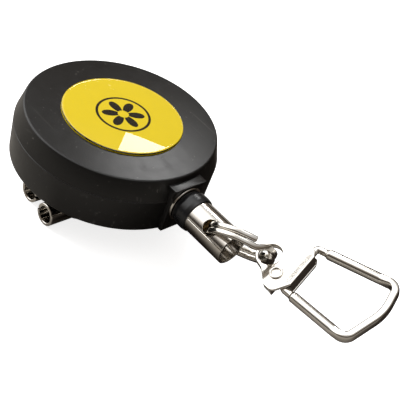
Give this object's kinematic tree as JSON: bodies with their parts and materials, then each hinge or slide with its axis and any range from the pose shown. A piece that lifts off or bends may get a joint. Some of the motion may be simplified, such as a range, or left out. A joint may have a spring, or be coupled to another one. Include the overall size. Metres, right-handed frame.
{
  "type": "retractable badge reel",
  "caption": "Round cased cord reel with a domed label, a sprung swivelling back clip, and a cord that ends in a tube, split ring and hinged wire bail.",
  "frame": {"origin": "below the case's centre, on the flat underside of the back clip's lever", "axes": "+X the way the cord leaves the case, +Z along the case's axis out of its front face, +Y across"},
  "size_m": [0.0833, 0.041, 0.0246],
  "materials": {
    "black_plastic": "satin",
    "yellow_print": "printed",
    "clear_resin": "polished clear",
    "zinc": "plated",
    "white_nylon": "moulded",
    "spring_steel": "rolled",
    "black_cord": "braided",
    "nickel": "polished nickel plate",
    "black_rubber": "smooth",
    "brass": "crimped"
  },
  "bodies": {
    "case": {"rear_cover": "black_plastic", "front_cover": "black_plastic", "label_disc": "yellow_print", "label_dome": "clear_resin", "arbor": "zinc", "slip_washer": "white_nylon", "eyelet": "nickel", "cord_run": "black_cord", "swivel_rivet": "nickel", "wave_washer": "spring_steel"},
    "spool": {"spool": "white_nylon", "spool_lid": "white_nylon", "mainspring": "spring_steel", "cord_winding": "black_cord"},
    "cord_end": {"collar": "black_rubber", "cord_tail": "black_cord", "cord_stop": "brass"},
    "tube": {"end_tube": "nickel"},
    "ring": {"split_ring": "nickel"},
    "plate": {"clip_plate": "nickel", "plate_rivet": "nickel"},
    "loop": {"bail": "nickel"},
    "jaw": {"clip_base": "nickel", "hinge_pin": "nickel", "torsion_spring": "spring_steel"},
    "lever": {"clip_lever": "nickel"}
  },
  "joints": [
    {"name": "spool_spin", "type": "hinge", "parent": "case", "child": "spool", "pos_m": [0, 0, 0.0134], "axis": [0, 0, 1], "range_deg": [0, 2760]},
    {"name": "cord_pull", "type": "slide", "parent": "case", "child": "cord_end", "axis": [1, 0, 0], "range_m": [0, 0.6], "stiffness_N_per_m": 2.5, "springref_m": -0.6},
    {"name": "tube_swivel", "type": "hinge", "parent": "cord_end", "child": "tube", "pos_m": [0.03, 0, 0.0134], "axis": [1, 0, 0], "continuous": true},
    {"name": "ring_swing", "type": "hinge", "parent": "tube", "child": "ring", "pos_m": [0.03, 0, 0.0134], "axis": [0, -0.682, 0.7314], "range_deg": [-75, 100]},
    {"name": "plate_swing", "type": "hinge", "parent": "ring", "child": "plate", "pos_m": [0.04075, 0.00352, 0.01567], "axis": [0.1122, -0.6456, 0.7554], "range_deg": [-40, 40]},
    {"name": "bail_swing", "type": "hinge", "parent": "plate", "child": "loop", "pos_m": [0.04606, 0.00446, 0.01665], "axis": [-0.1662, 0.8891, 0.4266], "range_deg": [-8, 80]},
    {"name": "clip_swivel", "type": "hinge", "parent": "case", "child": "jaw", "pos_m": [0, 0, 0.0064], "axis": [0, 0, 1], "continuous": true},
    {"name": "lever_open", "type": "hinge", "parent": "jaw", "child": "lever", "pos_m": [0, -0.005, 0.0038], "axis": [-1, 0, 0], "range_deg": [0, 10], "stiffness_Nm_per_rad": 0.15, "springref_deg": -17.19, "deforming": ["torsion_spring"]}
  ],
  "couplings": [
    {"joint": "spool_spin", "follows": "cord_pull", "rad_per_m": 80}
  ]
}
